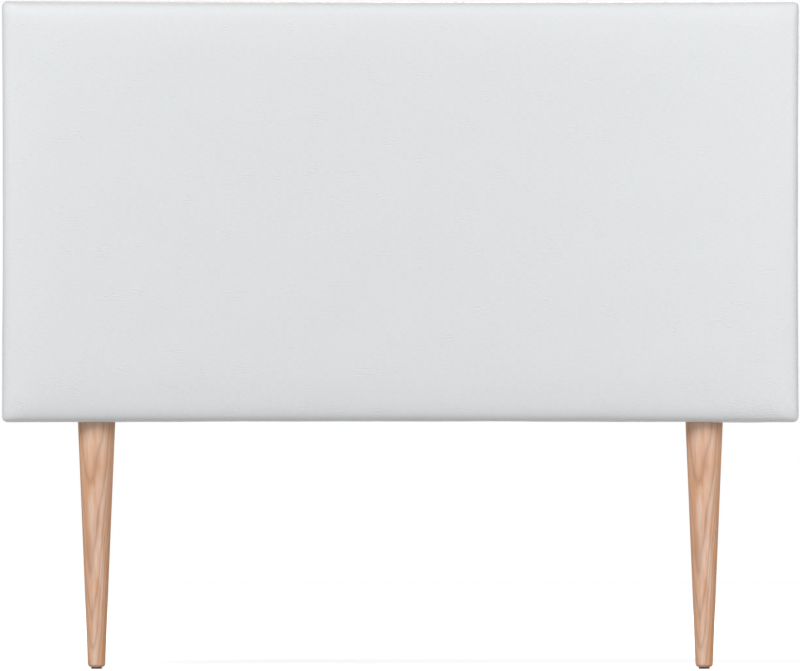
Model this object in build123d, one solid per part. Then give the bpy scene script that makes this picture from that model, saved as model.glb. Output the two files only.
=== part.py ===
from build123d import *
import math
import os

# A padded headboard on two turned legs. X runs along its width, the padded face looks
# towards -Y, the wall is on the +Y side, and Z is up from the floor under the glides.
# All lengths are in millimetres.

# Padded panel, measured over its cover
panel_width = 1150.0
panel_height = 608.0
side_draw_in = 1.5            # how far the tight cover pulls each side in at its middle
cover_thickness = 1.0
wadding_thickness = 3.4
foam_thickness = 25.0
foam_corner_radius = 3.0
crown_run = 200.0             # from the edge to where the padded face is nearly flat
crown_power = 5               # how square the rounded edge is
corner_growth_share = 0.6     # growth of the corner radius, of the inset from the edge
corner_limit_share = 0.8      # largest corner radius, of the half height left inside it
crown_depth_shares = (0.0, 0.3, 0.55, 0.75, 0.88, 0.95, 0.985, 0.9995)

# Timber frame and board
batten_height = 30.0          # seen from the front
batten_depth = 45.0
board_thickness = 10.0

# Legs
leg_length = 354.0
leg_top_diameter = 54.0
leg_foot_diameter = 25.0
leg_edge_distance = 136.0     # from the panel's edge to the axis of a leg
leg_setback = 27.5            # from the back of the timber frame to the leg's axis
leg_shoulder_height = 5.0     # rounding at the foot
leg_top_edge_break = 0.6

# Leg fixing: a hanger bolt in a tee nut
bolt_diameter = 8.0
bolt_wood_diameter = 7.0
bolt_wood_length = 35.0
bolt_point_length = 6.0
bolt_end_chamfer = 1.0
bolt_hole_diameter = 9.0
nut_flange_diameter = 22.0
nut_flange_thickness = 1.5
nut_barrel_diameter = 10.0
nut_barrel_length = 11.0
nut_prong_count = 4
nut_prong_width = 3.0
nut_prong_length = 6.0
nut_prong_thickness = 1.2
nut_prong_rim = 0.5           # from the prong to the flange's edge

# Glide under each leg
glide_diameter = 16.0
glide_thickness = 2.5
glide_edge_radius = 0.8
glide_nail_diameter = 2.0
glide_nail_length = 15.0      # driven into the leg
glide_nail_head_diameter = 6.0
glide_nail_head_thickness = 0.8

# Screws that hold the frame together
frame_screw_diameter = 4.5
frame_screw_length = 70.0
frame_screw_head_diameter = 9.0
frame_screw_head_height = 2.6
frame_screw_pitch = 18.0      # between the two screws of one joint
screw_point_length = 6.0
recess_depth = 1.2
recess_width = 1.0
recess_span_share = 0.6       # span of the cross recess, of the head's diameter

# Nails that hold the board on the frame
board_nail_diameter = 2.0
board_nail_length = 30.0
board_nail_head_diameter = 5.0
board_nail_head_thickness = 0.8
inner_rail_nail_shares = (0.2, 0.5, 0.8)      # from the middle to the leg bolt
outer_rail_nail_shares = (0.5,)               # from the leg bolt to the side stile
stile_nail_shares = (-0.35, -0.12, 0.12, 0.35)

# Back: turned cover, lining and staples
lining_thickness = 0.5
lining_row_share = 0.35       # row of staples across the batten's height
cover_row_share = 0.7
lining_hem = 6.0              # from the row of staples to the lining's edge
cover_hem = 6.0               # from the row of staples to the cover's cut edge
lining_staple_pitch = 100.0
cover_staple_pitch = 110.0
staple_crown = 10.0
staple_leg = 8.0
staple_wire_width = 1.0
staple_wire_thickness = 0.6

# Keyhole hangers on the top rail
hanger_edge_distance = 225.0  # from the panel's edge to the middle of a plate
hanger_length = 64.0
hanger_height = 24.0
hanger_thickness = 1.5
hanger_standoff = 3.5         # room for the head of a wall screw
hanger_flange = 16.0
hanger_end_radius = 4.0
hanger_hole_inset = 7.5       # from the plate's end to the screw hole's centre
keyhole_diameter = 9.5
keyhole_slot_width = 5.0
keyhole_slot_rise = 8.0
hanger_screw_diameter = 4.0
hanger_screw_length = 25.0
hanger_screw_head_diameter = 8.0
hanger_screw_head_height = 2.4
hanger_hole_diameter = 4.4

# Clearances, and how far a cut runs past what it cuts
soft_gap = 0.3
hard_gap = 0.05
overrun = 1.0

# Depth, from the back of the timber frame forwards and backwards
side_wrap = cover_thickness + soft_gap + wadding_thickness + soft_gap
crown_depth = side_wrap + foam_thickness
hanger_rise = hanger_standoff + hanger_thickness
front_reach = batten_depth + board_thickness + crown_depth
back_reach = cover_thickness + lining_thickness + hanger_rise
frame_back_y = (front_reach - back_reach) / 2
frame_front_y = frame_back_y - batten_depth
frame_middle_y = frame_back_y - batten_depth / 2
board_front_y = frame_front_y - board_thickness
cover_back_y = frame_back_y + cover_thickness
lining_back_y = cover_back_y + lining_thickness

# Width and height
frame_width = panel_width - 2 * side_wrap
frame_height = panel_height - 2 * side_wrap
panel_corner_radius = foam_corner_radius + side_wrap
stile_length = frame_height - 2 * batten_height
stile_x = (frame_width - batten_height) / 2
leg_x = panel_width / 2 - leg_edge_distance
hanger_x = panel_width / 2 - hanger_edge_distance
leg_y = frame_back_y - leg_setback
leg_top_z = glide_thickness + leg_length
side_names = {"left": -1, "right": 1}


def draw_in_at(distance):
    """How far the panel's underside is pulled up, this far from the panel's middle."""
    half_chord = panel_width / 2 - panel_corner_radius
    bend = (half_chord**2 + side_draw_in**2) / (2 * side_draw_in)
    return side_draw_in - bend + math.sqrt(bend**2 - distance**2)


# The leg's top stops just under the cover, where the panel is lowest above it
panel_bottom_z = leg_top_z + soft_gap - draw_in_at(leg_x + leg_top_diameter / 2)
panel_middle_z = panel_bottom_z + panel_height / 2
rail_z = (frame_height - batten_height) / 2
bottom_rail_top_z = panel_bottom_z + side_wrap + batten_height
hanger_z = panel_middle_z + rail_z


def front_plane(y):
    """A plane that faces the room, with its origin at the panel's middle."""
    return Plane(origin=(0, y, panel_middle_z), x_dir=(1, 0, 0), z_dir=(0, -1, 0))


def panel_outline(y, inset, corner, straight=False):
    """The panel's outline at depth y: a rectangle with drawn-in sides and round corners.

    A straight one has straight sides and cut corners, as the flat middle of the face does."""
    half_width = panel_width / 2 - inset
    half_height = panel_height / 2 - inset
    bow = corner * (1 - math.sqrt(0.5))
    corners = []
    for side_x, side_z in ((1, 1), (1, -1), (-1, -1), (-1, 1)):
        on_level = (side_x * (half_width - corner), side_z * half_height)
        on_upright = (side_x * half_width, side_z * (half_height - corner))
        middle = (side_x * (half_width - bow), side_z * (half_height - bow))
        ends = (on_level, on_upright) if side_x == side_z else (on_upright, on_level)
        corners.append((ends[0], middle, ends[1]))
    edges = []
    for index, arc in enumerate(corners):
        next_arc = corners[(index + 1) % len(corners)]
        chord_middle = (Vector(arc[2]) + Vector(next_arc[0])) / 2
        pulled_in = chord_middle - chord_middle.normalized() * side_draw_in
        if straight:
            edges.append(Line(arc[0], arc[2]))
            edges.append(Line(arc[2], next_arc[0]))
        else:
            edges.append(ThreePointArc(*arc))
            edges.append(ThreePointArc(arc[2], pulled_in, next_arc[0]))
    return front_plane(y) * Wire(edges)


def cushion(offset, back_y):
    """The padded panel as one solid, all its faces this far inside the cover's outside."""
    corner = panel_corner_radius - offset
    sections = []
    for share in crown_depth_shares:
        inset = crown_run * (1 - (1 - share**crown_power) ** (1 / crown_power))
        room = panel_height / 2 - offset - inset
        radius = min(corner + corner_growth_share * inset, corner_limit_share * room)
        y = board_front_y - share * (crown_depth - offset)
        is_middle = share == crown_depth_shares[-1]
        sections.append(panel_outline(y, offset + inset, radius, is_middle))
    padded_front = Solid.make_loft(sections, ruled=True)
    if back_y == board_front_y:
        return padded_front
    back_part = extrude(Face(sections[0]), amount=back_y - board_front_y, dir=(0, 1, 0))
    return back_part + padded_front


def block(width, front_y, back_y, height):
    """A box centred on the panel's middle in X and Z, between two depths."""
    middle = (front_y + back_y) / 2
    return Pos(0, middle, panel_middle_z) * Box(width, back_y - front_y, height)


def turned(points):
    """A solid turned about the Z axis from an outline of radius and height points."""
    face = make_face(Plane.XZ * Polyline(*points, close=True))
    return revolve(face, Axis.Z)


def cut_all(solid, tools):
    """The solid with every tool cut from it."""
    return solid.cut(*tools)


def nail(diameter, length, head_diameter, head_thickness, gap=0):
    """A nail that points down from a flush head. A gap makes the hole that it fills."""
    radius = diameter / 2 + gap
    head_radius = head_diameter / 2 + gap
    head_bottom = -head_thickness - gap
    top = gap
    tip = -length - gap
    return turned([
        (0, top),
        (head_radius, top),
        (head_radius, head_bottom),
        (radius, head_bottom),
        (radius, tip + diameter),
        (0, tip),
    ])


def cross_recess(head_diameter, top_z):
    """The tool that cuts a screw head's cross."""
    span = recess_span_share * head_diameter
    bar = Box(span, recess_width, 2 * recess_depth)
    return Pos(0, 0, top_z) * (bar + Rot(Z=90) * bar)


def flush_screw(gap=0):
    """A countersunk frame screw that points down. A gap makes the hole that it fills."""
    radius = frame_screw_diameter / 2 + gap
    head_radius = frame_screw_head_diameter / 2 + gap
    tip = -frame_screw_length - gap
    screw = turned([
        (0, 0),
        (head_radius, 0),
        (radius, -frame_screw_head_height - gap),
        (radius, tip + screw_point_length),
        (0, tip),
    ])
    if gap:
        return screw
    return screw - cross_recess(frame_screw_head_diameter, 0)


def pan_screw(gap=0):
    """A pan-head hanger screw that points down, with its head above the origin."""
    radius = hanger_screw_diameter / 2 + gap
    head_radius = hanger_screw_head_diameter / 2
    head_edge = hanger_screw_head_height / 2
    tip = -hanger_screw_length - gap
    screw = turned([
        (0, hanger_screw_head_height),
        (head_radius - head_edge, hanger_screw_head_height),
        (head_radius, head_edge),
        (head_radius, 0),
        (radius, 0),
        (radius, tip + screw_point_length),
        (0, tip),
    ])
    if gap:
        return screw
    return screw - cross_recess(hanger_screw_head_diameter, hanger_screw_head_height)


def hanger_bolt(gap=0):
    """A bolt with a machine thread upwards and a wood thread downwards from the leg's top."""
    machine_length = bottom_rail_top_z + nut_flange_thickness - leg_top_z
    radius = bolt_diameter / 2 + gap
    wood_radius = bolt_wood_diameter / 2 + gap
    top = machine_length + gap
    tip = -bolt_wood_length - gap
    return turned([
        (0, top),
        (radius - bolt_end_chamfer, top),
        (radius, top - bolt_end_chamfer),
        (radius, 0),
        (wood_radius, 0),
        (wood_radius, tip + bolt_point_length),
        (0, tip),
    ])


def tee_nut_body(gap=0):
    """A tee nut without its bore: flange above the origin, barrel and prongs below."""
    flange_radius = nut_flange_diameter / 2
    barrel_radius = nut_barrel_diameter / 2 + gap
    body = turned([
        (0, nut_flange_thickness),
        (flange_radius, nut_flange_thickness),
        (flange_radius, 0),
        (barrel_radius, 0),
        (barrel_radius, -nut_barrel_length - gap),
        (0, -nut_barrel_length - gap),
    ])
    half_width = nut_prong_width / 2 + gap
    thickness = nut_prong_thickness + 2 * gap
    tooth = make_face(Polyline(
        (-half_width, overrun / 2),
        (half_width, overrun / 2),
        (half_width, 0),
        (0, -nut_prong_length - gap),
        (-half_width, 0),
        close=True,
    ))
    prong_y = flange_radius - nut_prong_rim - nut_prong_thickness / 2
    prong = extrude(Plane.XZ * tooth, amount=thickness / 2, both=True)
    for index in range(nut_prong_count):
        turn = 360 * (index + 0.5) / nut_prong_count
        body += Rot(Z=turn) * Pos(0, prong_y, 0) * prong
    return body


def staple(crown_top, gap=0):
    """A staple in the back: its crown along X reaches crown_top, its legs point to -Y."""
    half_crown = staple_crown / 2
    outer = half_crown + gap
    inner = half_crown - staple_wire_thickness - gap
    crown_bottom = crown_top - staple_wire_thickness - gap
    point = crown_top - staple_wire_thickness - staple_leg - gap
    top = crown_top + gap
    profile = make_face(Polyline(
        (-outer, top),
        (outer, top),
        (outer, point),
        (inner, point),
        (inner, crown_bottom),
        (-inner, crown_bottom),
        (-inner, point),
        (-outer, point),
        close=True,
    ))
    return extrude(profile, amount=staple_wire_width / 2 + gap, both=True)


def staple_places(row_inset, pitch, half_pitch_start):
    """Where a row of staples runs round the back: x, z and the crown's turn, per staple."""
    places = []
    row_x = panel_width / 2 - row_inset
    row_z = panel_height / 2 - row_inset
    for half_run, across, turn in ((row_x, row_z, 0), (row_z, row_x, 90)):
        run = 2 * (half_run - pitch / 2)
        count = max(1, round(run / pitch))
        step = run / count
        shift = step / 2 if half_pitch_start else 0
        last = count if half_pitch_start else count + 1
        for index in range(last):
            along = -run / 2 + shift + index * step
            for side in (-1, 1):
                x, z = (along, side * across) if turn == 0 else (side * across, along)
                places.append((x, z, turn))
    return places


def clear_of_hangers(place):
    """Whether a staple stays out from under the hanger plates."""
    x, z, turn = place
    reach = (hanger_length + staple_crown) / 2 + staple_wire_width
    near_plate_z = abs(z - rail_z) < (hanger_height + staple_wire_width) / 2
    return not (near_plate_z and abs(abs(x) - hanger_x) < reach)


def placed_staples(places, crown_top, gap=0):
    """One staple at each place in the panel's back."""
    one = staple(crown_top, gap)
    return [Pos(x, 0, panel_middle_z + z) * Rot(Y=turn) * one for x, z, turn in places]


def screw_joints(gap=0):
    """The frame screws, two through each rail into the end of each stile."""
    one = flush_screw(gap)
    screws = []
    for x in (-stile_x, 0, stile_x):
        for side in (-1, 1):
            y = frame_middle_y + side * frame_screw_pitch / 2
            top = panel_middle_z + frame_height / 2
            bottom = panel_middle_z - frame_height / 2
            screws.append(Pos(x, y, top) * one)
            screws.append(Pos(x, y, bottom) * Rot(X=180) * one)
    return screws


def board_nails(gap=0):
    """The nails through the board into the rails and stiles."""
    one = Rot(X=90) * nail(board_nail_diameter, board_nail_length,
                           board_nail_head_diameter, board_nail_head_thickness, gap)
    rail_places = [share * leg_x for share in inner_rail_nail_shares]
    rail_places += [leg_x + share * (stile_x - leg_x) for share in outer_rail_nail_shares]
    nails = []
    for z in (-rail_z, rail_z):
        for x in rail_places:
            nails += [Pos(side * x, board_front_y, panel_middle_z + z) * one for side in (-1, 1)]
    for x in (-stile_x, 0, stile_x):
        for share in stile_nail_shares:
            nails.append(Pos(x, board_front_y, panel_middle_z + share * stile_length) * one)
    return nails


def hanger_screws(gap=0):
    """Two screws for each hanger plate, driven into the top rail."""
    one = Rot(X=-90) * pan_screw(gap)
    seat_y = lining_back_y + hanger_thickness
    hole_x = hanger_length / 2 - hanger_hole_inset
    screws = []
    for side in side_names.values():
        for end in (-1, 1):
            screws.append(Pos(side * hanger_x + end * hole_x, seat_y, hanger_z) * one)
    return screws


def leg_bolts(gap=0):
    """Both hanger bolts in place, left first."""
    return [Pos(side * leg_x, leg_y, leg_top_z) * hanger_bolt(gap) for side in side_names.values()]


def tee_nut_tools():
    """The barrel and prong holes of both tee nuts in the bottom rail."""
    return [Pos(side * leg_x, leg_y, bottom_rail_top_z) * tee_nut_body(hard_gap)
            for side in side_names.values()]


def bolt_holes():
    """The clearance holes for both bolts, from under the panel into the bottom rail."""
    reach = bottom_rail_top_z + overrun - leg_top_z
    hole = Cylinder(bolt_hole_diameter / 2, reach, align=(Align.CENTER, Align.CENTER, Align.MIN))
    return [Pos(side * leg_x, leg_y, leg_top_z) * hole for side in side_names.values()]


def cover():
    """The faux-leather cover: a tight skin over front and edges, turned over the back."""
    skin = cushion(0, cover_back_y) - cushion(cover_thickness, frame_back_y)
    turn_width = side_wrap + cover_row_share * batten_height + cover_hem
    window = block(panel_width - 2 * turn_width, frame_back_y - overrun,
                   cover_back_y + overrun, panel_height - 2 * turn_width)
    tools = [window] + bolt_holes() + cover_staples(hard_gap) + lining_staples(hard_gap)
    return cut_all(skin, tools + hanger_screws(hard_gap))


def cover_staples(gap=0):
    """Staples of the turned cover, pressed flush into it."""
    places = staple_places(side_wrap + cover_row_share * batten_height, cover_staple_pitch, False)
    return placed_staples(places, cover_back_y, gap)


def lining_staples(gap=0):
    """Staples of the lining, their crowns on top of it."""
    row = side_wrap + lining_row_share * batten_height
    places = staple_places(row, lining_staple_pitch, True)
    places = [place for place in places if clear_of_hangers(place)]
    return placed_staples(places, lining_back_y + staple_wire_thickness, gap)


def wadding():
    """Wadding over the foam and round the edges of the timber."""
    outside = cushion(cover_thickness + soft_gap, frame_back_y - soft_gap)
    foam_space = cushion(side_wrap - soft_gap, board_front_y)
    timber_space = block(frame_width + 2 * soft_gap, board_front_y - hard_gap,
                         frame_back_y + overrun, frame_height + 2 * soft_gap)
    return cut_all(outside, [foam_space, timber_space] + bolt_holes())


def backing_board():
    """The board that carries the foam."""
    board = block(frame_width, board_front_y, frame_front_y, frame_height)
    return cut_all(board, board_nails(hard_gap))


def rail(side):
    """The bottom (-1) or top (1) rail, as long as the frame is wide."""
    timber = Pos(0, frame_middle_y, panel_middle_z + side * rail_z) * Box(
        frame_width, batten_depth, batten_height)
    tools = screw_joints(hard_gap) + board_nails(hard_gap)
    tools += cover_staples(hard_gap) + lining_staples(hard_gap)
    tools += hanger_screws(hard_gap) if side > 0 else bolt_holes() + tee_nut_tools()
    return cut_all(timber, tools)


def stile(x):
    """An upright between the rails."""
    timber = Pos(x, frame_middle_y, panel_middle_z) * Box(
        batten_height, batten_depth, stile_length)
    tools = screw_joints(hard_gap) + board_nails(hard_gap)
    return cut_all(timber, tools + cover_staples(hard_gap) + lining_staples(hard_gap))


def lining():
    """The lining over the back, laid on the turned edges of the cover."""
    margin = side_wrap + lining_row_share * batten_height - lining_hem
    sheet = extrude(Face(panel_outline(cover_back_y, margin, lining_hem)),
                    amount=lining_thickness, dir=(0, 1, 0))
    return cut_all(sheet, lining_staples(hard_gap) + hanger_screws(hard_gap))


def glide_nail(gap=0):
    """The nail of a glide, standing head down on the origin."""
    whole = glide_nail_length + glide_thickness / 2
    return Rot(X=180) * nail(glide_nail_diameter, whole, glide_nail_head_diameter,
                             glide_nail_head_thickness, gap)


def glide():
    """A moulded plastic glide with a rounded lower edge."""
    pad = Cylinder(glide_diameter / 2, glide_thickness, align=(Align.CENTER, Align.CENTER, Align.MIN))
    pad = fillet(pad.edges().group_by(Axis.Z)[0], glide_edge_radius)
    return pad - Pos(0, 0, glide_thickness / 2) * glide_nail(hard_gap)


def leg():
    """A turned leg: a straight taper with a rounded foot, drilled at both ends."""
    foot = glide_diameter / 2
    low = leg_foot_diameter / 2
    high = leg_top_diameter / 2
    shoulder_z = glide_thickness + leg_shoulder_height
    turn = math.sqrt(0.5)
    outline = [
        Line((0, glide_thickness), (foot, glide_thickness)),
        ThreePointArc(
            (foot, glide_thickness),
            (foot + turn * (low - foot), shoulder_z - turn * leg_shoulder_height),
            (low, shoulder_z),
        ),
        Polyline(
            (low, shoulder_z),
            (high, leg_top_z - leg_top_edge_break),
            (high - leg_top_edge_break, leg_top_z),
            (0, leg_top_z),
            (0, glide_thickness),
        ),
    ]
    body = revolve(make_face(Plane.XZ * Curve(outline)), Axis.Z)
    bolt = Pos(0, 0, leg_top_z) * hanger_bolt(hard_gap)
    return body - bolt - Pos(0, 0, glide_thickness / 2) * glide_nail(hard_gap)


def tee_nut():
    """A tee nut with its bore, which fits the bolt's thread."""
    bore_length = nut_barrel_length + nut_flange_thickness + 2 * overrun
    bore = Cylinder(bolt_diameter / 2 + hard_gap, bore_length)
    return tee_nut_body() - Pos(0, 0, (nut_flange_thickness - nut_barrel_length) / 2) * bore


def hanger():
    """A hat-shaped steel plate with a keyhole in its raised middle, and two screw holes."""
    half_length = hanger_length / 2
    riser = half_length - hanger_flange
    profile = make_face(Polyline(
        (-half_length, 0),
        (-riser, 0),
        (-riser, hanger_standoff),
        (riser, hanger_standoff),
        (riser, 0),
        (half_length, 0),
        (half_length, hanger_thickness),
        (riser + hanger_thickness, hanger_thickness),
        (riser + hanger_thickness, hanger_rise),
        (-riser - hanger_thickness, hanger_rise),
        (-riser - hanger_thickness, hanger_thickness),
        (-half_length, hanger_thickness),
        close=True,
    ))
    plate = extrude(profile, amount=hanger_height / 2, both=True)
    end_edges = plate.edges().filter_by(Axis.Y).filter_by(
        lambda edge: abs(edge.center().X) > half_length - hanger_hole_inset)
    plate = fillet(end_edges, hanger_end_radius)
    cut_length = 2 * (hanger_rise + overrun)
    screw_hole = Rot(X=90) * Cylinder(hanger_hole_diameter / 2, cut_length)
    hole_x = half_length - hanger_hole_inset
    tools = [Pos(side * hole_x, 0, 0) * screw_hole for side in (-1, 1)]
    keyhole = Rot(X=90) * Cylinder(keyhole_diameter / 2, cut_length)
    slot_end = Rot(X=90) * Cylinder(keyhole_slot_width / 2, cut_length)
    slot = Box(keyhole_slot_width, cut_length, keyhole_slot_rise)
    keyhole_z = -keyhole_slot_rise / 2
    tools += [Pos(0, 0, keyhole_z) * keyhole, Pos(0, 0, -keyhole_z) * slot_end, slot]
    return cut_all(plate, tools)


os.makedirs("parts", exist_ok=True)
nodes = {
    "cover": [cover()],
    "wadding": [wadding()],
    "foam_pad": [cushion(side_wrap, board_front_y)],
    "backing_board": [backing_board()],
    "top_rail": [rail(1)],
    "bottom_rail": [rail(-1)],
    "left_stile": [stile(-stile_x)],
    "centre_stile": [stile(0)],
    "right_stile": [stile(stile_x)],
    "frame_screws": screw_joints(),
    "board_nails": board_nails(),
    "back_lining": [lining()],
    "cover_staples": cover_staples(),
    "lining_staples": lining_staples(),
    "hanger_screws": hanger_screws(),
}
bolts = leg_bolts()
for index, (side_name, side) in enumerate(side_names.items()):
    under_leg = Pos(side * leg_x, leg_y, 0)
    nodes[f"{side_name}_leg"] = [under_leg * leg()]
    nodes[f"{side_name}_leg_bolt"] = [bolts[index]]
    nodes[f"{side_name}_tee_nut"] = [Pos(side * leg_x, leg_y, bottom_rail_top_z) * tee_nut()]
    nodes[f"{side_name}_glide"] = [under_leg * glide()]
    nodes[f"{side_name}_glide_nail"] = [under_leg * Pos(0, 0, glide_thickness / 2) * glide_nail()]
    nodes[f"{side_name}_hanger"] = [Pos(side * hanger_x, lining_back_y, hanger_z) * hanger()]

for name, solids in nodes.items():
    export_step(Compound(children=solids), f"parts/{name}.step")
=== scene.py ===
import math

import bmesh
import bpy
import numpy as np
from mathutils import Matrix, Vector, noise


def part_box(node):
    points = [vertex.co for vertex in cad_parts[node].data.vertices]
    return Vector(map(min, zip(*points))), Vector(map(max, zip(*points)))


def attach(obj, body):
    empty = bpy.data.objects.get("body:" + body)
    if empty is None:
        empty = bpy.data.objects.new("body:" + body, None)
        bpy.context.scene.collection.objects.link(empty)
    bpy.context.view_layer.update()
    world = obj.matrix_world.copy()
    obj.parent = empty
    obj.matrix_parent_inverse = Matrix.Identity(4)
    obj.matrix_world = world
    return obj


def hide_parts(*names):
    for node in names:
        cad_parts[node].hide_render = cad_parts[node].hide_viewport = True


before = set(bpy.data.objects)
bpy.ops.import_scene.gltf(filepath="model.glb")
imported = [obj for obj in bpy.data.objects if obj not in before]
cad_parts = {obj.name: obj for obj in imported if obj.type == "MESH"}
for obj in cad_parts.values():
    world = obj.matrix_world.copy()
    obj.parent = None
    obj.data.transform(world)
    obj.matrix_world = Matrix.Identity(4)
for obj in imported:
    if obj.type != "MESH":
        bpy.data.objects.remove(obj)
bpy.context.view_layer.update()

# A padded headboard in white synthetic leather on two turned legs, dressed in the order in
# which it is put together. X runs along its width, the padded face looks towards -Y, the wall
# is on the +Y side, and Z is up from the floor.


# Timber frame
# Two rails and three stiles of planed pine batten, 45 x 30 mm. The stiles stand between the
# rails, so the grain runs along X in the rails and along Z in the stiles. A ring of the wave
# pattern is 0.314 of its own units wide, which turns the spacing into its scale.

mm = 0.001
pine_ring_spacing = 4 * mm
pine_fibre_width = 0.6 * mm
pine_fibre_length = 60 * mm
pine_ring_stretch = 0.08
pine_heart_shift = (0, 90 * mm, 12 * mm)
wave_ring = 0.314


def linear(colour):
    """Scene-linear colour from an sRGB hex value."""
    channels = [int(colour[start:start + 2], 16) / 255 for start in (1, 3, 5)]
    bent = [c / 12.92 if c <= 0.04045 else ((c + 0.055) / 1.055) ** 2.4 for c in channels]
    return bent + [1]


def fill_in(material, node, inputs):
    """Link or set a node's inputs: a socket is linked, and anything else is set."""
    for name, value in inputs.items():
        if isinstance(value, bpy.types.NodeSocket):
            material.node_tree.links.new(value, node.inputs[name])
        else:
            node.inputs[name].default_value = value


def add(material, kind, inputs, **settings):
    """Add one shader node with its settings and its inputs."""
    node = material.node_tree.nodes.new("ShaderNode" + kind)
    for name, value in settings.items():
        setattr(node, name, value)
    fill_in(material, node, inputs)
    return node


def new_finish(name):
    """A material and its surface shader."""
    material = bpy.data.materials.new(name)
    material.use_nodes = True
    return material, material.node_tree.nodes["Principled BSDF"]


def dress(material, *names):
    """Give a material to CAD nodes."""
    for name in names:
        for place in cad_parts[name].material_slots:
            place.material = material


def pine(name, turn):
    """Planed pine: pale with darker summer rings that run along the batten, slightly silky."""
    wood, surface = new_finish(name)
    place = add(wood, "TexCoord", {}).outputs["Object"]
    turned = add(wood, "Mapping", {"Vector": place, "Rotation": turn}).outputs["Vector"]
    slow = add(wood, "Mapping", {"Vector": turned, "Scale": (pine_ring_stretch, 1, 1),
                                 "Location": pine_heart_shift}).outputs["Vector"]
    rings = add(wood, "TexWave", {
        "Vector": slow, "Scale": wave_ring / pine_ring_spacing, "Distortion": 3.0,
        "Detail": 2.0, "Detail Scale": 0.4,
    }, wave_type="RINGS", rings_direction="X").outputs["Fac"]
    fibres = add(wood, "Mapping", {
        "Vector": turned,
        "Scale": (1 / pine_fibre_length, 1 / pine_fibre_width, 1 / pine_fibre_width),
    }).outputs["Vector"]
    streaks = add(wood, "TexNoise", {"Vector": fibres, "Scale": 1.0, "Detail": 2.0}).outputs["Fac"]
    late = add(wood, "MapRange", {"Value": rings, "From Min": 0.55, "From Max": 0.95,
                                  "To Max": 0.75}).outputs["Result"]
    ringed = add(wood, "MixRGB", {"Fac": late, "Color1": linear("#E3C79C"),
                                  "Color2": linear("#C08F57")}).outputs["Color"]
    shade = add(wood, "MapRange", {"Value": streaks, "From Min": 0.3, "From Max": 0.7,
                                   "To Min": 0.0, "To Max": 0.3}).outputs["Result"]
    colour = add(wood, "MixRGB", {"Fac": shade, "Color1": ringed,
                                  "Color2": linear("#B98D5C")}).outputs["Color"]
    bump = add(wood, "Bump", {"Height": streaks, "Strength": 0.25, "Distance": 0.1 * mm})
    fill_in(wood, surface, {"Base Color": colour, "Roughness": 0.62,
                            "Normal": bump.outputs["Normal"]})
    return wood


dress(pine("planed pine, grain along X", (0, 0, 0)), "top_rail", "bottom_rail")
dress(pine("planed pine, grain along Z", (0, math.pi / 2, 0)),
      "left_stile", "centre_stile", "right_stile")


# Screws, bolts and tee nuts
# Mild steel with bright zinc plate and a clear passivate, which gives a pale grey metal with a
# slightly cloudy gloss. The frame screws hold the stiles, the bolts and tee nuts the legs.


def plated_steel(name, colour, cloudiness, roughness):
    """Plated steel: full metal, with soft cloudy patches from the bath."""
    metal, surface = new_finish(name)
    place = add(metal, "TexCoord", {}).outputs["Object"]
    clouds = add(metal, "TexNoise", {"Vector": place, "Scale": 1 / (6 * mm),
                                     "Detail": 3.0}).outputs["Fac"]
    pits = add(metal, "TexNoise", {"Vector": place, "Scale": 1 / (0.8 * mm),
                                   "Detail": 1.0}).outputs["Fac"]
    tone = add(metal, "MapRange", {"Value": clouds, "From Min": 0.3, "From Max": 0.7,
                                   "To Max": cloudiness}).outputs["Result"]
    colours = add(metal, "MixRGB", {"Fac": tone, "Color1": linear(colour),
                                    "Color2": linear("#9FA3A6")}).outputs["Color"]
    gloss = add(metal, "MapRange", {"Value": clouds, "From Min": 0.3, "From Max": 0.7,
                                    "To Min": roughness, "To Max": roughness + 0.15})
    bump = add(metal, "Bump", {"Height": pits, "Strength": 0.15, "Distance": 0.05 * mm})
    fill_in(metal, surface, {"Base Color": colours, "Metallic": 1.0,
                             "Roughness": gloss.outputs["Result"],
                             "Normal": bump.outputs["Normal"]})
    return metal


zinc_plate = plated_steel("bright zinc plate on steel", "#C9CCCE", 0.5, 0.28)
dress(zinc_plate, "frame_screws", "left_leg_bolt", "right_leg_bolt",
      "left_tee_nut", "right_tee_nut")


# Backing board
# A 10 mm medium-density fibreboard that carries the foam. It has no grain, only pale brown
# pressed fibres with a faint sanded mottle, and it is nailed to the frame.

board, board_surface = new_finish("sanded fibreboard")
board_place = add(board, "TexCoord", {}).outputs["Object"]
board_fibres = add(board, "TexNoise", {"Vector": board_place, "Scale": 1 / (1.5 * mm),
                                       "Detail": 4.0}).outputs["Fac"]
board_mottle = add(board, "TexNoise", {"Vector": board_place, "Scale": 1 / (40 * mm),
                                       "Detail": 2.0}).outputs["Fac"]
board_tone = add(board, "Math", {0: board_fibres, 1: board_mottle}, operation="MULTIPLY")
board_shade = add(board, "MapRange", {"Value": board_tone.outputs["Value"], "From Min": 0.12,
                                      "From Max": 0.4}).outputs["Result"]
board_colour = add(board, "MixRGB", {"Fac": board_shade, "Color1": linear("#A98860"),
                                     "Color2": linear("#C2A57E")}).outputs["Color"]
board_bump = add(board, "Bump", {"Height": board_fibres, "Strength": 0.3, "Distance": 0.1 * mm})
fill_in(board, board_surface, {"Base Color": board_colour, "Roughness": 0.8,
                               "Normal": board_bump.outputs["Normal"]})
dress(board, "backing_board")


# Nails
# Bright drawn steel wire with a light film of oil: darker and smoother than zinc plate. They
# hold the board on the frame, and one more holds the glide under each leg.

nail_wire = plated_steel("bright drawn wire", "#9A9C9E", 0.3, 0.35)
dress(nail_wire, "board_nails", "left_glide_nail", "right_glide_nail")


# Foam pad
# Cut polyurethane foam, 25 mm thick and as large as the board, glued on with its front edges
# eased. Its surface has open cells about half a millimetre wide, drawn here at 1.5 mm.


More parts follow.
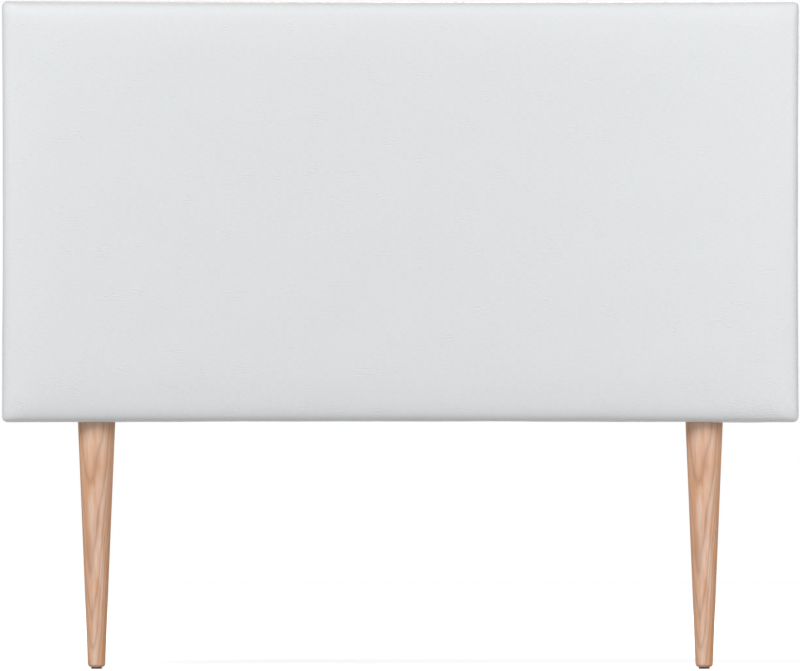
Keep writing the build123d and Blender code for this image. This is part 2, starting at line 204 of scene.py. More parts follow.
def new_piece(name, bm, material, slot, *nodes):
    """Finish a mesh as a named piece that rides on the body and stands for its nodes."""
    mesh = bpy.data.meshes.new(name)
    bm.to_mesh(mesh)
    bm.free()
    mesh.materials.append(material)
    mesh.shade_smooth()
    piece = bpy.data.objects.new(name, mesh)
    bpy.context.scene.collection.objects.link(piece)
    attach(piece, "root")
    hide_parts(*nodes)
    return piece


foam, foam_surface = new_finish("cut polyurethane foam")
foam_place = add(foam, "TexCoord", {}).outputs["Object"]
foam_cells = add(foam, "TexVoronoi", {"Vector": foam_place,
                                      "Scale": 1 / (1.5 * mm)}).outputs["Distance"]
foam_patches = add(foam, "TexNoise", {"Vector": foam_place,
                                      "Scale": 1 / (90 * mm)}).outputs["Fac"]
foam_tone = add(foam, "MapRange", {"Value": foam_cells, "From Max": 0.7}).outputs["Result"]
foam_colour = add(foam, "MixRGB", {"Fac": foam_tone, "Color1": linear("#CDB878"),
                                   "Color2": linear("#EADCA9")}).outputs["Color"]
foam_shaded = add(foam, "MixRGB", {"Fac": foam_patches, "Color1": foam_colour,
                                   "Color2": linear("#E3D49C")}).outputs["Color"]
foam_bump = add(foam, "Bump", {"Height": foam_cells, "Strength": 0.5, "Distance": 0.4 * mm})
fill_in(foam, foam_surface, {"Base Color": foam_shaded, "Roughness": 0.95,
                             "Normal": foam_bump.outputs["Normal"]})

# The padded face rises to its full depth over crown_run, as a superellipse. Its corners are
# rounded more and more towards the middle, and its edges are drawn in at mid-length.
board_front_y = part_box("backing_board")[0].y
frame_back_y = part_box("top_rail")[1].y
cover_low, cover_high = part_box("cover")
half_width = cover_high.x
half_height = (cover_high.z - cover_low.z) / 2
middle_z = (cover_high.z + cover_low.z) / 2
crown_run = 200 * mm
crown_depth = board_front_y - cover_low.y
crown_power = 5
corner_radius = 8 * mm
corner_growth = 0.6
corner_limit = 0.8
side_draw_in = 1.5 * mm
draw_in_run = 160 * mm
foam_inset = 5.0 * mm
soft_middle_step = 24 * mm
soft_edge_step = 8 * mm
edge_zone = 64 * mm
back_fold = 1.5 * mm
back_lines = 5
profile_steps = 400


def stations(flat_front, side_length, turn, middle_step, edge_step):
    """Places of the sheet's mesh lines from its middle outwards, closer near its edges."""
    middle_count = math.ceil((flat_front - edge_zone) / middle_step)
    edge_count = math.ceil(edge_zone / edge_step)
    places = list(np.linspace(0, flat_front - edge_zone, middle_count + 1))
    places += list(np.linspace(flat_front - edge_zone, flat_front, edge_count + 1)[1:])
    if side_length:
        side_count = math.ceil(side_length / (2 * edge_step))
        places += list(flat_front + np.linspace(0, side_length - back_fold, side_count + 1)[1:])
        places.append(flat_front + side_length)
    if turn:
        places += list(flat_front + side_length + np.linspace(back_fold, turn, back_lines))
    return [-place for place in reversed(places[1:])] + places


def wrapped_sheet(inside, back_y, turn, middle_step, edge_step, rise):
    """A flat sheet laid over the crowned front, round the edges and in over the back.

    It lies this far inside the cover's outer face. The square left over at each corner is cut
    out and the cut is closed. rise says how far each place then stands out. The sheet's own
    flat lengths become its UV map."""
    depth = crown_depth - inside
    angles = np.linspace(0, math.pi / 2, profile_steps)
    insets = crown_run * (1 - np.cos(angles) ** (2 / crown_power))
    depths = depth * np.sin(angles) ** (2 / crown_power)
    arcs = np.concatenate(([0], np.cumsum(np.hypot(np.diff(insets), np.diff(depths)))))
    flat_middle = 1.0
    insets = np.append(insets, crown_run + flat_middle)
    depths = np.append(depths, depth)
    arcs = np.append(arcs, arcs[-1] + flat_middle)
    wide = half_width - inside
    high = half_height - inside
    flat_wide = np.interp(wide, insets, arcs)
    flat_high = np.interp(high, insets, arcs)
    side_length = back_y - board_front_y
    across = stations(flat_wide, side_length, turn, middle_step, edge_step)
    upwards = stations(flat_high, side_length, turn, middle_step, edge_step)

    def placed(s, t):
        """Where a place of the flat sheet ends up, in metres from the middle of the panel."""
        beyond_x, beyond_z = abs(s) - flat_wide, abs(t) - flat_high
        inset_x = float(np.interp(-beyond_x, arcs, insets))
        inset_z = float(np.interp(-beyond_z, arcs, insets))
        inset = min(inset_x, inset_z)
        beyond = max(beyond_x, beyond_z, 0)
        turned_in = max(beyond - side_length, 0)
        y = board_front_y - float(np.interp(inset, insets, depths))
        y += min(beyond, side_length)
        edge_x = wide - inset - turned_in
        edge_z = high - inset - turned_in
        x = min((wide - inset_x) * (1 - turned_in / wide), edge_x)
        z = min((high - inset_z) * (1 - turned_in / high), edge_z)
        radius = corner_radius - inside + corner_growth * inset
        radius = min(radius, corner_limit * max(high - inset, mm))
        radius = max(radius - turned_in, mm)
        centre_x, centre_z = edge_x - radius, edge_z - radius
        if x > centre_x and z > centre_z:
            on_level = inset_z + max(-beyond_z, 0) <= inset_x + max(-beyond_x, 0)
            if on_level:
                angle = (x - centre_x) / radius * math.pi / 4
                x, z = centre_x + radius * math.sin(angle), centre_z + radius * math.cos(angle)
            else:
                angle = (z - centre_z) / radius * math.pi / 4
                x, z = centre_x + radius * math.cos(angle), centre_z + radius * math.sin(angle)
        pull_x = side_draw_in * (1 - (z / high) ** 2) * max(1 - inset_x / draw_in_run, 0)
        pull_z = side_draw_in * (1 - (x / wide) ** 2) * max(1 - inset_z / draw_in_run, 0)
        return Vector((math.copysign(x - pull_x, s), y, middle_z + math.copysign(z - pull_z, t)))

    bm = bmesh.new()
    bmesh.ops.create_grid(bm, x_segments=len(across) - 1, y_segments=len(upwards) - 1, size=1)
    cut_width, cut_height = 2 * across[-1], 2 * upwards[-1]
    cut = bm.loops.layers.uv.new("cut")
    spots = {}
    for vert in bm.verts:
        column = round((vert.co.x + 1) / 2 * (len(across) - 1))
        row = round((vert.co.y + 1) / 2 * (len(upwards) - 1))
        spots[vert.index] = (across[column], upwards[row])
    bm.faces.ensure_lookup_table()
    for face in bm.faces:
        for loop in face.loops:
            s, t = spots[loop.vert.index]
            loop[cut].uv = (s / cut_width + 0.5, t / cut_height + 0.5)
    tiny = 0.001 * mm
    spare = [face for face in bm.faces
             if all(abs(spots[v.index][0]) > flat_wide - tiny
                    and abs(spots[v.index][1]) > flat_high - tiny for v in face.verts)]
    for vert in bm.verts:
        vert.co = placed(*spots[vert.index])
    bm.normal_update()
    if min(bm.faces, key=lambda face: face.calc_center_median().y).normal.y > 0:
        bmesh.ops.reverse_faces(bm, faces=bm.faces)
        bm.normal_update()
    outwards = [vert.normal.copy() for vert in bm.verts]
    for vert, outward in zip(bm.verts, outwards):
        s, t = spots[vert.index]
        vert.co += outward * rise(s, t, abs(s) - flat_wide, abs(t) - flat_high)
    bmesh.ops.delete(bm, geom=spare, context="FACES")
    bmesh.ops.remove_doubles(bm, verts=bm.verts, dist=0.01 * mm)
    spare_side = across[-1] - flat_wide
    return bm, (cut_width, cut_height), cut_width * cut_height - 4 * spare_side ** 2


def flat_foam(s, t, beyond_x, beyond_z):
    """The cut foam has no waves of its own."""
    return 0


bm = wrapped_sheet(foam_inset, board_front_y, 0, soft_middle_step, soft_edge_step, flat_foam)[0]
rim = [edge for edge in bm.edges if edge.is_boundary]
bmesh.ops.contextual_create(bm, geom=rim)
foam_pad = new_piece("foam_pad_cut", bm, foam, "foam", "foam_pad")


# Wadding
# Soft polyester fibre, 3.4 mm thick, laid over the foam and round all four edges of the frame
# so that the cover lies smooth. It is white and matt, with loose tangled fibres.

wadding_thickness = 3.4 * mm
wadding_inset = 1.3 * mm
wadding_back_gap = 0.3 * mm
wadding_wave_height = 0.15 * mm
wadding_wave_length = 70 * mm


def give_thickness(piece, thickness, levels):
    """Smooth a sheet and give it its thickness on the inner side."""
    if levels:
        rounding = piece.modifiers.new("rounding", "SUBSURF")
        rounding.levels = levels
        rounding.render_levels = levels
    wall = piece.modifiers.new("thickness", "SOLIDIFY")
    wall.thickness = thickness
    wall.offset = -1
    wall.use_even_offset = True


wadding_fibres, wadding_surface = new_finish("polyester wadding")
wadding_place = add(wadding_fibres, "TexCoord", {}).outputs["Object"]
wadding_tangle = add(wadding_fibres, "TexNoise", {
    "Vector": wadding_place, "Scale": 1 / (5 * mm), "Detail": 6.0, "Distortion": 2.5,
}).outputs["Fac"]
wadding_clumps = add(wadding_fibres, "TexNoise", {"Vector": wadding_place,
                                                  "Scale": 1 / (60 * mm)}).outputs["Fac"]
wadding_colour = add(wadding_fibres, "MixRGB", {
    "Fac": wadding_tangle, "Color1": linear("#DEDFDC"), "Color2": linear("#F7F7F4"),
}).outputs["Color"]
wadding_height = add(wadding_fibres, "Math", {0: wadding_tangle, 1: wadding_clumps},
                     operation="ADD").outputs["Value"]
wadding_bump = add(wadding_fibres, "Bump", {"Height": wadding_height, "Strength": 0.6,
                                            "Distance": 0.8 * mm})
fill_in(wadding_fibres, wadding_surface, {
    "Base Color": wadding_colour, "Roughness": 1.0, "Sheen Weight": 0.3,
    "Normal": wadding_bump.outputs["Normal"],
})


def wadding_waves(s, t, beyond_x, beyond_z):
    """The loose layer is pressed a little more in some places than in others."""
    on_front = max(beyond_x, beyond_z) < 0
    wave = noise.noise(Vector((s, t, 0)) / wadding_wave_length) - 1
    return wadding_wave_height * wave if on_front else 0


bm = wrapped_sheet(wadding_inset, frame_back_y - wadding_back_gap, 0,
                   soft_middle_step, soft_edge_step, wadding_waves)[0]
wadding = new_piece("wadding_layer", bm, wadding_fibres, "wadding", "wadding")
give_thickness(wadding, wadding_thickness, 0)


# Cover
# One cut of white synthetic leather: a knitted cloth with a polyurethane skin, embossed with a
# fine grain. It is pulled tight over the wadding, its corners pleated, and stapled behind.

cover_thickness = 1.0 * mm
cover_turn = 32 * mm
grain_length = 7.5 * mm
grain_height = 2.1 * mm
patch_length = 38 * mm
patch_height = 28 * mm
wrinkled_place = (60 * mm, 80 * mm)
wrinkled_reach = 260 * mm
cover_middle_step = 14 * mm
cover_edge_step = 4 * mm
pleat_width = 30 * mm
pleat_rise = 0.5 * mm
pleat_start = 8 * mm
pleat_fade = 12 * mm
line_start = 6 * mm
line_fade = 8 * mm
line_edge = 0.8 * mm
crease_depth = 0.8 * mm
crease_width = 3.5 * mm
staple_pitch = 110 * mm
staple_pull = 0.3 * mm
staple_hold = 6 * mm
pull_reach = 57 * mm
settling_push = 4
foam_hold = 0.3
foam_hold_change = 0.1
foam_hold_length = 90 * mm
settling_frames = 20
settling_limit = 1.5 * mm

leather, leather_surface = new_finish("embossed white synthetic leather")


def pulled_cloth(s, t, beyond_x, beyond_z):
    """The sides are pulled in at the staples, and each corner is folded into a pleat."""
    beyond = max(beyond_x, beyond_z)
    if beyond < 0 or beyond > pull_reach:
        return 0
    along = s if beyond_z > beyond_x else t
    from_corner = -min(beyond_x, beyond_z)
    pull = staple_pull * (math.cos(2 * math.pi * along / staple_pitch) - 1)
    crease = -crease_depth * math.exp(-(from_corner / crease_width) ** 2)
    on_side = beyond_x > beyond_z and from_corner < pleat_width
    pleat = pleat_rise if on_side else 0
    folded = min(max((beyond - pleat_start) / pleat_fade, 0), 1)
    return pull * beyond / pull_reach + (crease + pleat) * folded


def settle(piece):
    """Let the cover settle as cloth: padding pushes it outwards, staples hold it behind."""
    vertices = piece.data.vertices
    held = piece.vertex_groups.new(name="held")
    for vert in vertices:
        stapled = vert.co.y > cover_high.y - staple_hold
        hold = foam_hold + foam_hold_change * noise.noise(vert.co / foam_hold_length)
        held.add([vert.index], 1 if stapled else hold, "REPLACE")
    cloth = piece.modifiers.new("settling", "CLOTH")
    cloth.collision_settings.use_collision = False
    cloth.settings.vertex_group_mass = held.name
    cloth.settings.quality = 5
    cloth.settings.mass = 0.4
    cloth.settings.tension_stiffness = 20
    cloth.settings.compression_stiffness = 20
    cloth.settings.shear_stiffness = 8
    cloth.settings.bending_stiffness = 1.0
    cloth.settings.use_pressure = True
    cloth.settings.uniform_pressure_force = settling_push
    cloth.settings.effector_weights.gravity = 0
    scene = bpy.context.scene
    for frame_number in range(1, settling_frames + 1):
        scene.frame_set(frame_number)
    settled = piece.evaluated_get(bpy.context.evaluated_depsgraph_get()).data
    moves = [after.co - before.co for after, before in zip(settled.vertices, vertices)]
    piece.modifiers.remove(cloth)
    piece.vertex_groups.clear()
    scene.frame_set(1)
    for vert, move in zip(vertices, moves):
        vert.co += move * min(settling_limit / max(move.length, 0.001 * mm), 1)


bm, cover_flat, cover_area = wrapped_sheet(
    0, cover_high.y, cover_turn, cover_middle_step, cover_edge_step, pulled_cloth)
cover = new_piece("cover_leather", bm, leather, "cover", "cover")
settle(cover)
give_thickness(cover, cover_thickness, 1)

cut_uv = add(leather, "UVMap", {}, uv_map="cut").outputs["UV"]
cut_place = add(leather, "Mapping", {
    "Vector": cut_uv, "Scale": (cover_flat[0], cover_flat[1], 1),
}).outputs["Vector"]
# The real grain is about 1 mm fine. It is drawn as coarse as the photo shows it: flat wrinkles
# that stand out in a few patches, most of them at the lower right, over a faint even pebble.
grain_place = add(leather, "Mapping", {
    "Vector": cut_place, "Scale": (1 / grain_length, 1 / grain_height, 1),
}).outputs["Vector"]
wrinkles = add(leather, "TexNoise", {"Vector": grain_place, "Scale": 1.0, "Detail": 0.5,
                                     "Distortion": 0.15}).outputs["Fac"]
pebbles = add(leather, "TexVoronoi", {"Vector": grain_place, "Scale": 2.2},
              feature="SMOOTH_F1").outputs["Distance"]
patch_place = add(leather, "Mapping", {
    "Vector": cut_place, "Scale": (1 / patch_length, 1 / patch_height, 1),
}).outputs["Vector"]
patches = add(leather, "TexNoise", {"Vector": patch_place, "Scale": 1.0,
                                    "Detail": 2.0}).outputs["Fac"]
lower_right = (cover_flat[0] - cover_turn - wrinkled_place[0], cover_turn + wrinkled_place[1], 0)
from_lower_right = add(leather, "VectorMath", {
    0: cut_place, 1: lower_right}, operation="DISTANCE").outputs["Value"]
more_wrinkled = add(leather, "MapRange", {
    "Value": from_lower_right, "From Max": wrinkled_reach, "To Min": 0.13, "To Max": 0,
}).outputs["Result"]
placed_patches = add(leather, "Math", {0: patches, 1: more_wrinkled}, operation="ADD")
patch_depth = add(leather, "MapRange", {"Value": placed_patches.outputs["Value"],
                                        "From Min": 0.57, "From Max": 0.67,
                                        "To Min": 0.03, "To Max": 1.0}).outputs["Result"]
folds = add(leather, "MapRange", {"Value": wrinkles, "From Min": 0.3, "From Max": 0.7,
                                  "To Min": -1.0, "To Max": 1.0}).outputs["Result"]
emboss = add(leather, "Math", {0: folds, 1: patch_depth}, operation="MULTIPLY").outputs["Value"]
fine_bump = add(leather, "Bump", {"Height": pebbles, "Strength": 0.08,
                                  "Distance": 0.3 * mm}).outputs["Normal"]
grain_bump = add(leather, "Bump", {"Height": emboss, "Strength": 0.6, "Distance": 0.25 * mm,
                                   "Normal": fine_bump}).outputs["Normal"]
# The edge of each corner's pleat shows as a line on the side. pleat_width is measured on the
# flat cut: once that is wrapped, the edge lies about 14 mm from the corner.
side_run = cover_high.y - board_front_y + cover_turn
pleat_across = cover_flat[0] / 2 - side_run + line_start
pleat_upwards = cover_flat[1] / 2 - side_run - pleat_width
from_middle = add(leather, "VectorMath", {
    0: cut_place, 1: (cover_flat[0] / 2, cover_flat[1] / 2, 0),
}, operation="SUBTRACT").outputs["Vector"]
reached = add(leather, "VectorMath", {0: from_middle}, operation="ABSOLUTE")
spread = add(leather, "SeparateXYZ", {"Vector": reached.outputs["Vector"]})
side_part = add(leather, "MapRange", {
    "Value": spread.outputs["X"], "From Min": pleat_across, "From Max": pleat_across + line_fade,
}).outputs["Result"]
pleat_part = add(leather, "MapRange", {
    "Value": spread.outputs["Y"], "From Min": pleat_upwards - line_edge,
    "From Max": pleat_upwards + line_edge,
}).outputs["Result"]
pleat_height = add(leather, "Math", {0: side_part, 1: pleat_part}, operation="MULTIPLY")
pleat_bump = add(leather, "Bump", {"Height": pleat_height.outputs["Value"], "Strength": 1.0,
                                   "Distance": 1.2 * mm, "Normal": grain_bump}).outputs["Normal"]
leather_tone = add(leather, "MapRange", {"Value": wrinkles, "From Min": 0.25, "From Max": 0.75,
                                         "To Max": 1.0}).outputs["Result"]
leather_colour = add(leather, "MixRGB", {"Fac": leather_tone, "Color1": linear("#D6D8D9"),
                                         "Color2": linear("#DADCDD")}).outputs["Color"]
leather_gloss = add(leather, "MapRange", {"Value": wrinkles, "From Min": 0.3, "From Max": 0.7,
                                          "To Min": 0.44, "To Max": 0.56}).outputs["Result"]
fill_in(leather, leather_surface, {"Base Color": leather_colour, "Roughness": leather_gloss,
                                   "IOR": 1.45, "Normal": pleat_bump})


# Staples
# Galvanised wire staples, shot into the back of the timber. The first row holds the turned
# cover, and the second the lining over it.

staple_wire = plated_steel("galvanised staple wire", "#B9BCBF", 0.4, 0.38)
dress(staple_wire, "cover_staples", "lining_staples")


# Back lining
# Black spunbonded polypropylene, half a millimetre thick, stapled over the back to keep dust
# out. Hot points 2.5 mm apart weld its fibres, and it sags a little between the timbers.

lining_low, lining_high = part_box("back_lining")
lining_sag = 3.2 * mm
lining_rest = 0.6 * mm
lining_thickness = 0.5 * mm
lining_edge_timber = 22 * mm
lining_centre_timber = 16 * mm
lining_held_edge = 12 * mm
lining_ease = 25 * mm
lining_sag_run = 110 * mm
lining_wave_lengths = (120 * mm, 45 * mm)
lining_columns, lining_rows = 150, 80
lining_bond_spacing = 2.5 * mm

lining_cloth, lining_surface = new_finish("black spunbonded lining")
lining_place = add(lining_cloth, "TexCoord", {}).outputs["Object"]
lining_turned = add(lining_cloth, "Mapping", {
    "Vector": lining_place, "Rotation": (0, math.pi / 4, 0),
}).outputs["Vector"]
lining_points = add(lining_cloth, "TexVoronoi", {
    "Vector": lining_turned, "Scale": 1 / lining_bond_spacing, "Randomness": 0.0,
}).outputs["Distance"]
lining_fibres = add(lining_cloth, "TexNoise", {
    "Vector": lining_place, "Scale": 1 / (4 * mm), "Detail": 5.0, "Distortion": 1.5,
}).outputs["Fac"]
lining_clouds = add(lining_cloth, "TexNoise", {
    "Vector": lining_place, "Scale": 1 / (35 * mm), "Detail": 2.0,
}).outputs["Fac"]
lining_tone = add(lining_cloth, "Math", {0: lining_fibres, 1: lining_clouds},
                  operation="MULTIPLY").outputs["Value"]
lining_shade = add(lining_cloth, "MapRange", {"Value": lining_tone, "From Min": 0.12,
                                              "From Max": 0.4}).outputs["Result"]
lining_colour = add(lining_cloth, "MixRGB", {"Fac": lining_shade, "Color1": linear("#17171A"),
                                             "Color2": linear("#2F3034")}).outputs["Color"]
lining_weld = add(lining_cloth, "MapRange", {"Value": lining_points, "From Min": 0.12,
                                             "From Max": 0.4}).outputs["Result"]
lining_bump = add(lining_cloth, "Bump", {"Height": lining_weld, "Strength": 0.5,
                                         "Distance": 0.2 * mm}).outputs["Normal"]
fill_in(lining_cloth, lining_surface, {"Base Color": lining_colour, "Roughness": 0.75,
                                       "Sheen Weight": 0.15, "Normal": lining_bump})

lining_wide = lining_high.x
lining_tall = (lining_high.z - lining_low.z) / 2
bm = bmesh.new()
bmesh.ops.create_grid(bm, x_segments=lining_columns, y_segments=lining_rows, size=1)
bmesh.ops.scale(bm, vec=(lining_wide, lining_tall, 1), verts=bm.verts)
bmesh.ops.rotate(bm, matrix=Matrix.Rotation(math.pi / 2, 3, "X"), verts=bm.verts)
bmesh.ops.translate(bm, vec=(0, lining_high.y, middle_z), verts=bm.verts)
for vert in bm.verts:
    from_edge = min(lining_wide - abs(vert.co.x), lining_tall - abs(vert.co.z - middle_z))
    from_timber = min(from_edge - lining_edge_timber, abs(vert.co.x) - lining_centre_timber)
    loose = min(max((from_edge - lining_held_edge) / lining_ease, 0), 1)
    open_part = min(max(from_timber / lining_sag_run, 0), 1)
    long_wave, short_wave = (noise.noise(vert.co / length) for length in lining_wave_lengths)
    uneven = 0.8 + 0.7 * (long_wave + 0.4 * short_wave)
    vert.co.y -= lining_rest * loose + lining_sag * open_part * uneven
bmesh.ops.recalc_face_normals(bm, faces=bm.faces)
bm.faces.ensure_lookup_table()
if bm.faces[0].normal.y < 0:
    bmesh.ops.reverse_faces(bm, faces=bm.faces)
lining = new_piece("back_lining_sheet", bm, lining_cloth, "lining", "back_lining")
give_thickness(lining, lining_thickness, 0)


# Wall hangers
# Pressed steel keyhole plates with a bright zinc plate, like the screws. Each is held over the
# lining to the top rail by two pan-head screws, and hangs on the head of a wall screw.

dress(zinc_plate, "left_hanger", "right_hanger", "hanger_screws")


# Legs
# Turned beech-like hardwood with a satin clear varnish, tapered from 54 to 25 mm. The blank was
# cut beside the tree's heart, so the taper cuts its growth rings in long V figures at the front.
# Ring radii are in millimetres, and the scales of the slow waves are counted per metre.

heart_offset = (9 * mm, 24.4 * mm)
ring_reach = 56 * mm
ring_radii = (6, 9.5, 13, 17, 20.5, 24, 27.5, 31, 34.5, 37.4, 40.1, 41.9, 45, 49.4, 53.2)
pore_width = 1.1 * mm
pore_length = 45 * mm
wander_scale = (30, 30, 9)
wander_reach = 6 * mm
cloud_scale = (110, 110, 14)


def turned_wood(name, axis):
    """Satin varnished hardwood: soft dark ring lines, pale sapwood outside that also serves as a
    painted front reflection, warm heart inside, painted shade on the sides.
    """
    wood, surface = new_finish(name)
    places = add(wood, "TexCoord", {}).outputs
    local = add(wood, "Mapping", {
        "Vector": places["Object"], "Location": (-axis.x, -axis.y, 0),
    }).outputs["Vector"]
    bend = add(wood, "Mapping", {"Vector": local, "Scale": wander_scale}).outputs["Vector"]
    wander = add(wood, "TexNoise", {"Vector": bend, "Scale": 1.0, "Detail": 1.0}).outputs["Color"]
    centred = add(wood, "VectorMath", {0: wander, 1: (0.5, 0.5, 0.5)},
                  operation="SUBTRACT").outputs["Vector"]
    shifted = add(wood, "VectorMath", {0: centred, "Scale": wander_reach},
                  operation="SCALE").outputs["Vector"]
    grown = add(wood, "VectorMath", {0: local, 1: shifted}, operation="ADD").outputs["Vector"]
    from_heart = add(wood, "Mapping", {
        "Vector": grown, "Location": (-heart_offset[0], -heart_offset[1], 0), "Scale": (1, 1, 0),
    }).outputs["Vector"]
    radius = add(wood, "VectorMath", {0: from_heart}, operation="LENGTH").outputs["Value"]
    reach = add(wood, "Math", {0: radius, 1: ring_reach}, operation="DIVIDE").outputs["Value"]
    rings = add(wood, "ValToRGB", {"Fac": reach})
    stops = rings.color_ramp.elements
    stops.remove(stops[1])
    stops[0].color = (0, 0, 0, 1)
    before = 0
    for ring in ring_radii:
        stops.new((before + ring) / 2 * mm / ring_reach).color = (0, 0, 0, 1)
        stops.new(ring * mm / ring_reach).color = (1, 1, 1, 1)
        before = ring
    line = add(wood, "Math", {0: rings.outputs["Color"], 1: 3.0}, operation="POWER")
    line_depth = add(wood, "Math", {0: line.outputs["Value"], 1: 0.55},
                     operation="MULTIPLY").outputs["Value"]
    # The pale sapwood lies at the front, away from the offset heart. Its paleness there is partly
    # the wood's own colour and partly a painted reflection of the front light.
    sapwood_and_front_sheen = add(wood, "MapRange", {"Value": radius, "From Min": 30 * mm, "From Max": 39 * mm},
                  interpolation_type="SMOOTHSTEP").outputs["Result"]
    ground = add(wood, "MixRGB", {"Fac": sapwood_and_front_sheen, "Color1": linear("#D29C74"),
                                  "Color2": linear("#E4C2AD")}).outputs["Color"]
    # Painted shade: where the surface faces along X, the colour is mixed towards a darker, warmer
    # brown, so the leg's flanks look shaded under any lamp.
    facing = add(wood, "SeparateXYZ", {"Vector": places["Normal"]}).outputs["X"]
    sideways = add(wood, "Math", {0: facing}, operation="ABSOLUTE").outputs["Value"]
    painted_side_shade = add(wood, "MapRange", {"Value": sideways, "From Min": 0.35, "From Max": 1.0,
                                         "To Max": 0.75}).outputs["Result"]
    side_shaded = add(wood, "MixRGB", {"Fac": painted_side_shade, "Color1": ground,
                                  "Color2": linear("#CE976C")}).outputs["Color"]
    cloud_place = add(wood, "Mapping", {"Vector": local, "Scale": cloud_scale})
    clouds = add(wood, "TexNoise", {"Vector": cloud_place.outputs["Vector"], "Scale": 1.0,
                                    "Detail": 2.0}).outputs["Fac"]
    cloud_depth = add(wood, "MapRange", {"Value": clouds, "From Min": 0.42, "From Max": 0.68,
                                         "To Max": 0.7}).outputs["Result"]
    clouded = add(wood, "MixRGB", {"Fac": cloud_depth, "Color1": side_shaded,
                                   "Color2": linear("#D39D74")}).outputs["Color"]
    lined = add(wood, "MixRGB", {"Fac": line_depth, "Color1": clouded,
                                 "Color2": linear("#A97F67")}).outputs["Color"]
    pore_place = add(wood, "Mapping", {
        "Vector": grown, "Scale": (1 / pore_width, 1 / pore_width, 1 / pore_length),
    }).outputs["Vector"]
    pores = add(wood, "TexNoise", {"Vector": pore_place, "Scale": 1.0,
                                   "Detail": 3.0}).outputs["Fac"]
    pore_depth = add(wood, "MapRange", {"Value": pores, "From Min": 0.5, "From Max": 0.75,
                                        "To Max": 0.4}).outputs["Result"]
    colour = add(wood, "MixRGB", {"Fac": pore_depth, "Color1": lined,
                                  "Color2": linear("#B07F60")}).outputs["Color"]
    bump = add(wood, "Bump", {"Height": pores, "Strength": 0.15, "Distance": 0.1 * mm})
    fill_in(wood, surface, {"Base Color": colour, "Roughness": 0.55, "Specular IOR Level": 0.12,
                            "Normal": bump.outputs["Normal"]})
    return wood


for side in ("left", "right"):
    leg_low, leg_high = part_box(side + "_leg")
    dress(turned_wood("turned varnished hardwood, " + side, (leg_low + leg_high) / 2),
          side + "_leg")


# Glides
# Dark brown moulded polyethylene pads, each nailed under its leg to spare the floor. The
# plastic is waxy, with a soft broad sheen.

glide_plastic, glide_surface = new_finish("moulded dark brown plastic")
glide_place = add(glide_plastic, "TexCoord", {}).outputs["Object"]
glide_grain = add(glide_plastic, "TexNoise", {"Vector": glide_place, "Scale": 1 / (0.7 * mm),
                                              "Detail": 2.0}).outputs["Fac"]
glide_tone = add(glide_plastic, "MixRGB", {"Fac": glide_grain, "Color1": linear("#4E3527"),
                                           "Color2": linear("#63473A")}).outputs["Color"]
glide_bump = add(glide_plastic, "Bump", {"Height": glide_grain, "Strength": 0.2,
                                         "Distance": 0.05 * mm}).outputs["Normal"]
fill_in(glide_plastic, glide_surface, {"Base Color": glide_tone, "Roughness": 0.5,
                                       "Normal": glide_bump})
dress(glide_plastic, "left_glide", "right_glide")


# Studio
# A plain white floor and a white surround, with four soft lamps: the key high in front on the
# left, a weak one low at each side, and one high behind that lights the back. The white glows
# for the camera and in reflections only, so the lamps alone set the shading.


def seen_rays(material):
    """1 for rays of the camera and of glossy or clear surfaces, 0 for all other light."""
    rays = add(material, "LightPath", {}).outputs
    seen = add(material, "Math", {0: rays["Is Camera Ray"], 1: rays["Is Glossy Ray"]},
               operation="MAXIMUM").outputs["Value"]
    return add(material, "Math", {0: seen, 1: rays["Is Transmission Ray"]},
               operation="MAXIMUM").outputs["Value"]


floor_half = 9.0
floor_near_lift = 0.64
floor_far_lift = 0.94
floor_near_at = 0.5
floor_far_at = 4.5
floor_material = bpy.data.materials.new("white studio floor")
floor_material.use_nodes = True
floor_material.node_tree.nodes.clear()
floor_place = add(floor_material, "TexCoord", {}).outputs["Object"]
floor_distance = add(floor_material, "VectorMath", {0: floor_place}, operation="LENGTH")
floor_far = add(floor_material, "MapRange", {
    "Value": floor_distance.outputs["Value"], "From Min": floor_near_at, "From Max": floor_far_at,
    "To Min": floor_near_lift, "To Max": floor_far_lift,
}, interpolation_type="SMOOTHSTEP").outputs["Result"]
floor_lift = add(floor_material, "Math", {0: seen_rays(floor_material), 1: floor_far},
                 operation="MULTIPLY")
floor_glow = add(floor_material, "Emission", {"Color": (1, 1, 1, 1),
                                              "Strength": floor_lift.outputs["Value"]})
floor_paint = add(floor_material, "BsdfDiffuse", {"Color": linear("#CCCCCC")})
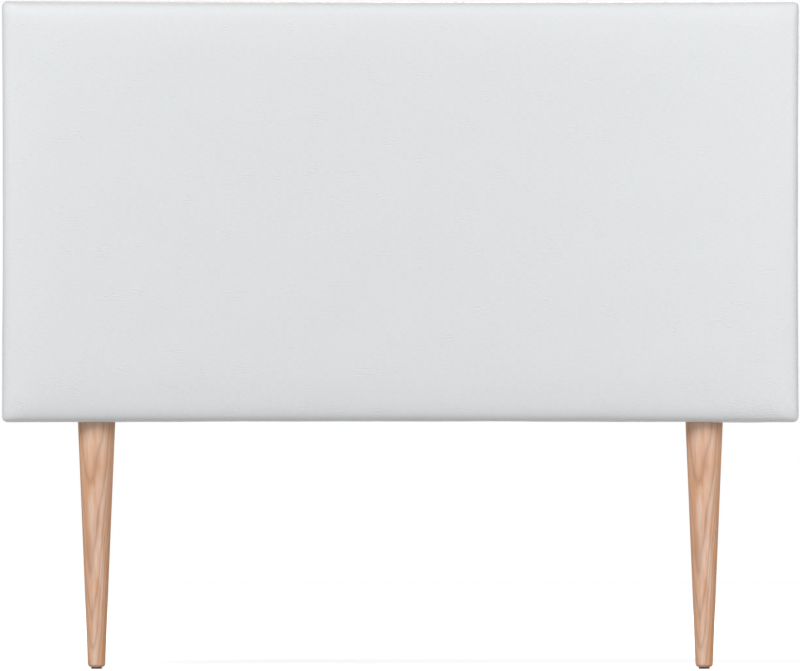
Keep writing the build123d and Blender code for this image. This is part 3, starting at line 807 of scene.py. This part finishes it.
floor_both = add(floor_material, "AddShader", {0: floor_glow.outputs["Emission"],
                                               1: floor_paint.outputs["BSDF"]})
add(floor_material, "OutputMaterial", {"Surface": floor_both.outputs["Shader"]})

bm = bmesh.new()
bmesh.ops.create_grid(bm, x_segments=4, y_segments=4, size=floor_half)
floor_mesh = bpy.data.meshes.new("floor")
bm.to_mesh(floor_mesh)
bm.free()
floor_mesh.materials.append(floor_material)
floor = bpy.data.objects.new("floor", floor_mesh)
bpy.context.scene.collection.objects.link(floor)

world = bpy.data.worlds.new("white surround")
world.use_nodes = True
bpy.context.scene.world = world
world.node_tree.nodes.clear()
sky = add(world, "Background", {"Color": (1, 1, 1, 1), "Strength": seen_rays(world)})
add(world, "OutputWorld", {"Surface": sky.outputs["Background"]})

lamps = (
    ("key lamp", (-2.2, -6.8, 6.8), 4.6, 648),
    ("left lamp", (-2.2, -1.4, 1.2), 1.0, 15),
    ("right lamp", (2.2, -1.4, 1.2), 1.0, 24),
    ("back lamp", (1.2, 4.2, 3.2), 2.6, 160),
)
for name, position, size, power in lamps:
    lamp = bpy.data.lights.new(name, "AREA")
    lamp.size = size
    lamp.energy = power
    light = bpy.data.objects.new(name, lamp)
    light.location = position
    aim = Vector((0, 0, middle_z)) - Vector(position)
    light.rotation_euler = aim.to_track_quat("-Z", "Y").to_euler()
    bpy.context.scene.collection.objects.link(light)


# Camera
# A long lens straight in front, far enough away that width and height keep their proportions.
# Its view is as wide as the photograph's frame, measured near the panel's front edges.

view_distance = 25.0
sensor_width = 36
view_width = 1154.6 * mm
view_plane_y = -20 * mm
view_middle_x = -0.5 * mm
view_middle_z = 481.6 * mm

camera = bpy.data.cameras.new("front view")
camera.sensor_width = sensor_width
camera.lens = sensor_width * view_distance / view_width
camera.clip_end = 60
viewer = bpy.data.objects.new("front view", camera)
viewer.location = (view_middle_x, view_plane_y - view_distance, view_middle_z)
viewer.rotation_euler = (math.pi / 2, 0, 0)
bpy.context.scene.collection.objects.link(viewer)
bpy.context.scene.camera = viewer
bpy.context.scene.view_settings.view_transform = "Standard"
